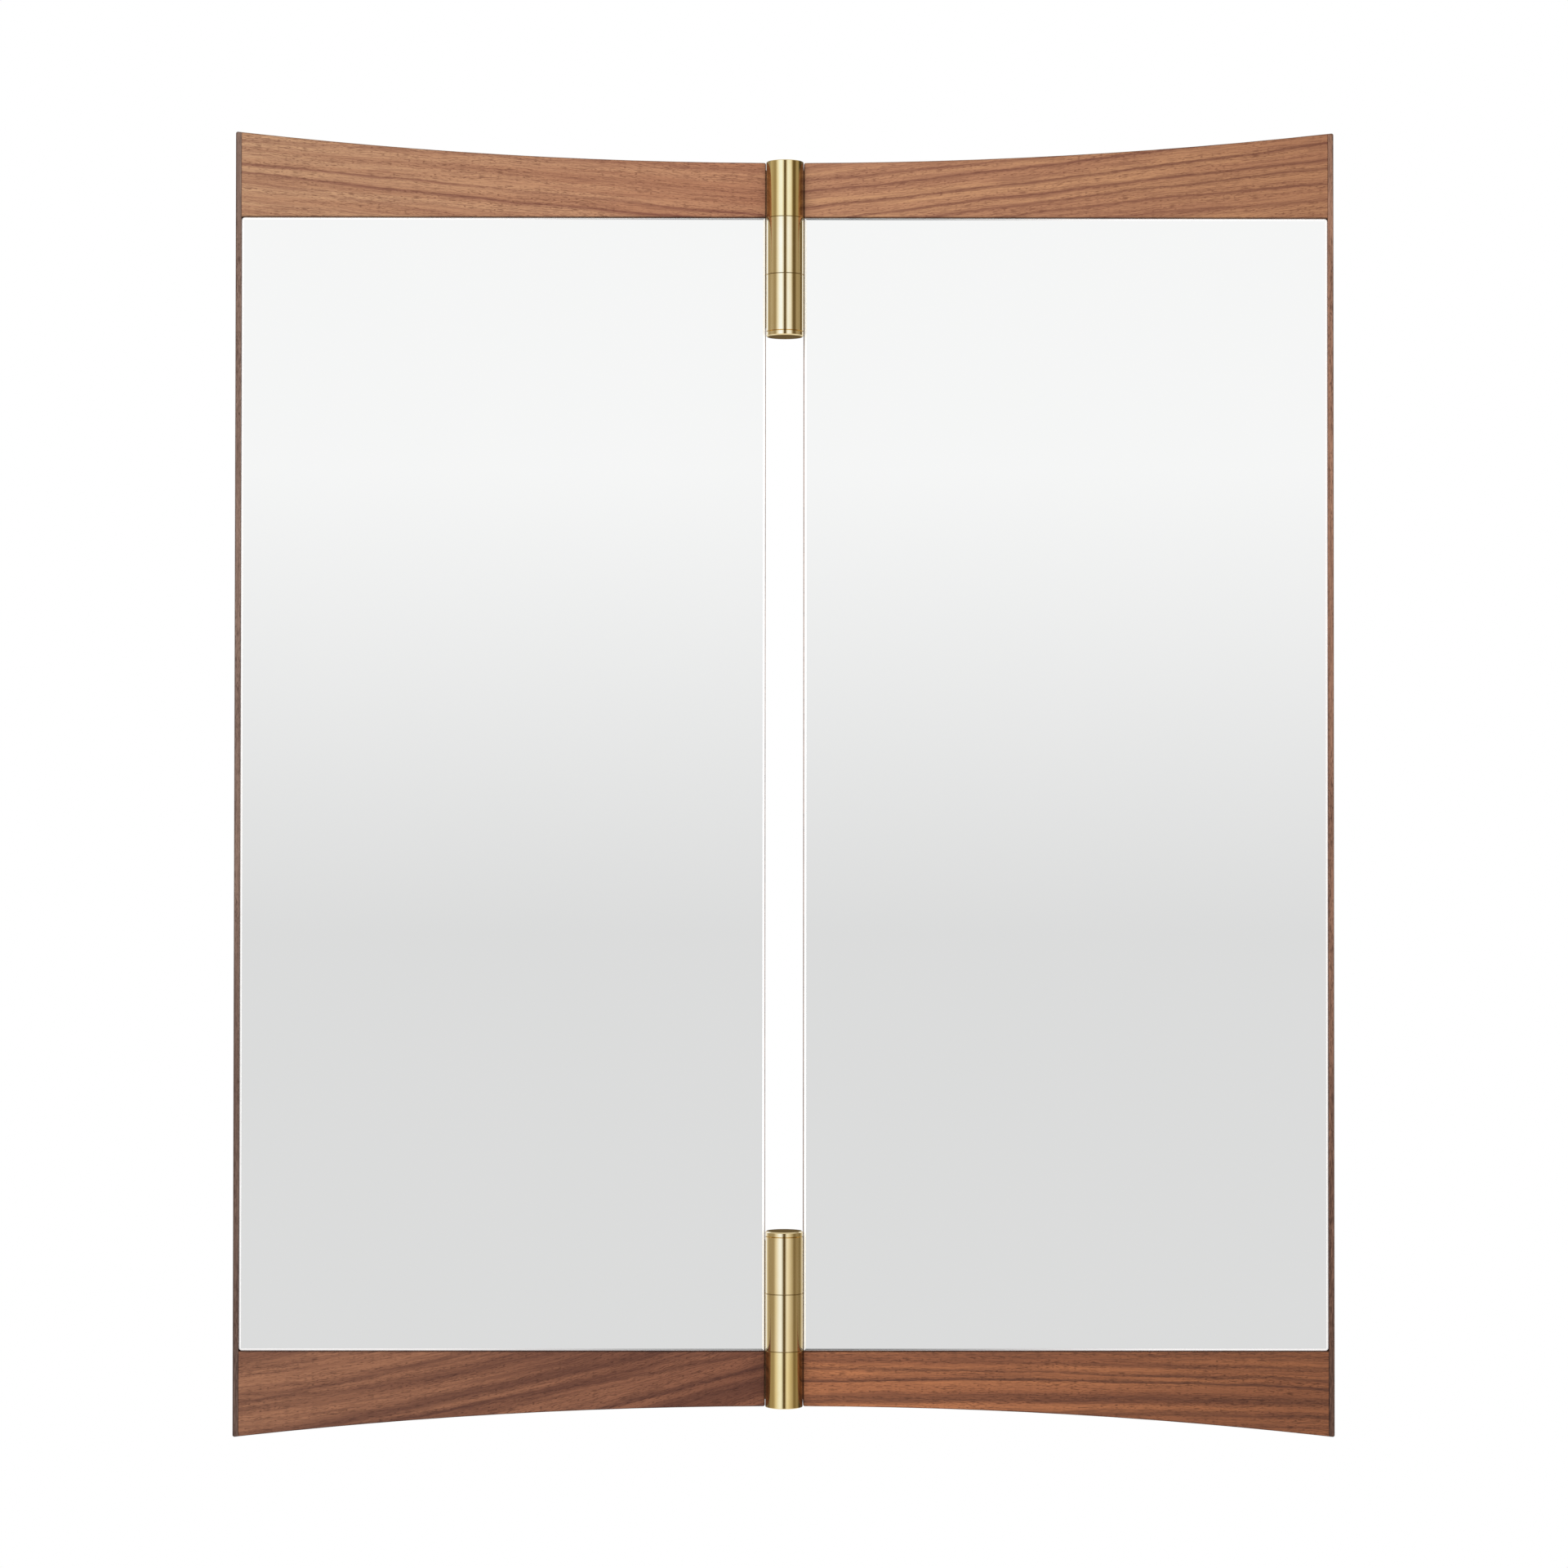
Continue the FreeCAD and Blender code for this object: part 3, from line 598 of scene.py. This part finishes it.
BROAD_SIZE = (30.0, 30.0, 30.0)
FINE_SHARE, BROAD_SHARE = 0.6, 0.4
SPECKLE_RANGE = (0.35, 0.65)
SPECKLE_ROUGHNESS = 0.12
FLECK_SIZE = (6.0, 0.5, 0.5)
BEECH_TONES = srgb(206, 166, 124), srgb(226, 192, 152)
BEECH_ROUGHNESS = 0.6


def speckled(name, first, second, size_mm, roughness, depth_mm):
    """A fine mottled surface for moulded and pressed materials."""
    surface = Finish(name)
    point = surface.place()
    fine_size = (size_mm, size_mm, size_mm)
    fine = surface.noise(surface.grain(point, fine_size), detail=4.0, roughness=0.65)
    broad = surface.noise(surface.grain(point, BROAD_SIZE), detail=2.0)
    shade = surface.math("MULTIPLY_ADD", broad, BROAD_SHARE, surface.math("MULTIPLY", fine, FINE_SHARE))
    surface.set(base_color=surface.mix(surface.span(shade, *SPECKLE_RANGE), first, second))
    surface.set(roughness=surface.math("MULTIPLY_ADD", fine, SPECKLE_ROUGHNESS, roughness))
    surface.bump(fine, depth_mm)
    return surface.material


def make_beech():
    """Plain beech with short flecks along the tenons."""
    wood = Finish("beech")
    x, y, z = wood.place()
    fleck = wood.noise(wood.grain((z, x, y), FLECK_SIZE), detail=2.0)
    wood.set(base_color=wood.mix(fleck, *BEECH_TONES), roughness=BEECH_ROUGHNESS)
    return wood.material


def dress(material, *names):
    """Give the named pieces this material alone."""
    for name in names:
        nodes[name].data.materials.clear()
        nodes[name].data.materials.append(material)


for rail, board in BOARDS.items():
    dress(make_rail_finish(rail, board), rail)
for strip, board in STRIP_BOARDS.items():
    dress(make_strip_finish(strip, board), strip)

mirror = make_mirror()
brass = make_brass("turned_brass", srgb(230, 209, 162), srgb(228, 206, 156))
yellow_brass = make_brass("yellow_brass", srgb(227, 204, 146), srgb(225, 200, 139))
steel = make_steel()
beech = make_beech()
core = speckled("stained_board", srgb(62, 50, 44), srgb(78, 64, 55), 0.8, 0.62, 0.03)
tape = speckled("foam_tape", srgb(214, 214, 210), srgb(226, 226, 222), 0.4, 0.8, 0.05)
rubber = speckled("rubber", srgb(44, 44, 45), srgb(58, 58, 59), 0.5, 0.6, 0.02)
nylon = speckled("nylon", srgb(226, 222, 210), srgb(236, 233, 224), 0.6, 0.42, 0.01)

for side in ("left", "right"):
    dress(mirror, side + "_mirror_glass")
    dress(core, side + "_core_board")
    dress(tape, side + "_mirror_tape")
    dress(beech, side + "_loose_tenons")
    dress(rubber, side + "_wall_bumpers")
dress(yellow_brass, "outer_knuckles")
dress(brass, "centre_knuckles", "inner_knuckles", "end_caps", "fixed_plates", "swing_plates")
dress(steel, "hinge_pins", "hanger_plates", "hanger_screws", "fixed_plate_screws", "swing_plate_screws")
dress(nylon, "knuckle_bushes")


# Studio

def studio_tone(level):
    """The dark of the studio is warm, and its soft boxes are so bright that they bleach."""
    red, green = DARK_POWERS if level < 1 else BRIGHT_POWERS
    return (level ** red, level ** green, level, 1.0)


def make_world():
    """White to the camera; a plain room in the glass; soft boxes in the brass; even light on the rest."""
    world = bpy.data.worlds.new("studio")
    bpy.context.scene.world = world
    world.use_nodes = True
    sky = Graph(world.node_tree)
    background = world.node_tree.nodes["Background"]
    x, y, z = sky.split(sky.node("ShaderNodeTexCoord").outputs["Generated"])
    path = sky.node("ShaderNodeLightPath").outputs

    room = sky.span(z, SKY_LOW, SKY_HIGH, SKY_LOW_LEVEL, SKY_HIGH_LEVEL, smooth=False)
    angle = sky.math("ARCTAN2", x, sky.math("MULTIPLY", y, -1.0))
    turn = sky.math("MULTIPLY_ADD", angle, 1 / radians(360), 0.5)
    upper, lower = (sky.ramp(turn, [((degrees + 180) / 360, studio_tone(level)) for degrees, level in bands])
                    for bands in (UPPER_BANDS, LOWER_BANDS))
    boxes = sky.mix(sky.span(z, LOWER_SLOPE, UPPER_SLOPE, smooth=False), lower, upper)
    steep = sky.math("MAXIMUM", sky.span(z, *STEEP_DOWN), sky.span(z, *STEEP_UP))
    boxes = sky.mix(steep, boxes, STEEP_TONE)

    shown = sky.mix(path["Is Glossy Ray"], AMBIENT, boxes)
    first = sky.math("LESS_THAN", path["Glossy Depth"], FIRST_IMAGE)
    mirrored = sky.math("MULTIPLY", path["Is Glossy Ray"], path["Is Singular Ray"])
    shown = sky.mix(sky.math("MULTIPLY", mirrored, first), shown, room)
    white = sky.math("MAXIMUM", path["Is Camera Ray"], path["Is Transmission Ray"])
    sky.put(background.inputs["Color"], sky.mix(white, shown, WHITE))


def make_floor():
    """A pale round floor below the mirror that runs out to white, and in mirrors to the plain room."""
    level = cad_box[0].z - FLOOR_DROP
    bpy.ops.mesh.primitive_circle_add(
        vertices=FLOOR_SIDES, radius=FLOOR_RADIUS, fill_type="NGON", location=(0, 0, level)
    )
    floor = bpy.context.object
    floor.name = "floor"
    surface = Finish("pale_floor")
    x, y, z = surface.place()
    square = surface.math("ADD", surface.math("POWER", x, 2.0), surface.math("POWER", y, 2.0))
    fade_start, fade_end = (share * FLOOR_RADIUS / MM for share in FLOOR_FADE)
    fade = surface.span(surface.math("SQRT", square), fade_start, fade_end)
    path = surface.node("ShaderNodeLightPath").outputs
    direct = surface.math("MAXIMUM", path["Is Camera Ray"], path["Is Transmission Ray"])
    glowing = surface.math("MAXIMUM", surface.math("MULTIPLY", direct, fade), path["Is Glossy Ray"])
    patches = surface.noise(surface.grain((x, y, z), (FLOOR_PATCH, FLOOR_PATCH, FLOOR_PATCH)), detail=2.0)
    surface.set(base_color=surface.mix(patches, *FLOOR_TONES), roughness=FLOOR_ROUGHNESS)
    glow = surface.node("ShaderNodeEmission")
    mirrored = surface.math("MULTIPLY", path["Is Glossy Ray"], fade)
    strength = surface.math("MULTIPLY_ADD", mirrored, SKY_LOW_LEVEL - 1.0, 1.0)
    surface.put(glow.inputs["Strength"], strength)
    blend = surface.node("ShaderNodeMixShader")
    surface.put(blend.inputs[0], glowing)
    surface.put(blend.inputs[1], surface.shader.outputs[0])
    surface.put(blend.inputs[2], glow.outputs[0])
    surface.put(surface.tree.nodes["Material Output"].inputs["Surface"], blend.outputs[0])
    floor.data.materials.append(surface.material)


def make_lamp(name, place, size, power):
    """A soft round lamp that looks at the mirror and doesn't show in it."""
    lamp = bpy.data.lights.new(name, "AREA")
    lamp.shape = "DISK"
    lamp.size = size
    lamp.energy = power
    holder = bpy.data.objects.new(name, lamp)
    bpy.context.scene.collection.objects.link(holder)
    holder.location = place
    holder.rotation_euler = (-holder.location).to_track_quat("-Z", "Y").to_euler()
    holder.visible_glossy = False


def make_camera():
    camera = bpy.data.cameras.new("camera")
    camera.lens = CAMERA_LENS
    camera.sensor_width = CAMERA_SENSOR
    holder = bpy.data.objects.new("camera", camera)
    bpy.context.scene.collection.objects.link(holder)
    holder.location = CAMERA_PLACE
    holder.rotation_euler = (radians(90 + CAMERA_PITCH), radians(-CAMERA_ROLL), radians(CAMERA_YAW))
    bpy.context.scene.camera = holder


make_world()
make_floor()
make_lamp("key", KEY_PLACE, KEY_SIZE, KEY_POWER)
make_lamp("fill", FILL_PLACE, FILL_SIZE, FILL_POWER)
make_camera()
bpy.context.scene.view_settings.view_transform = "Standard"
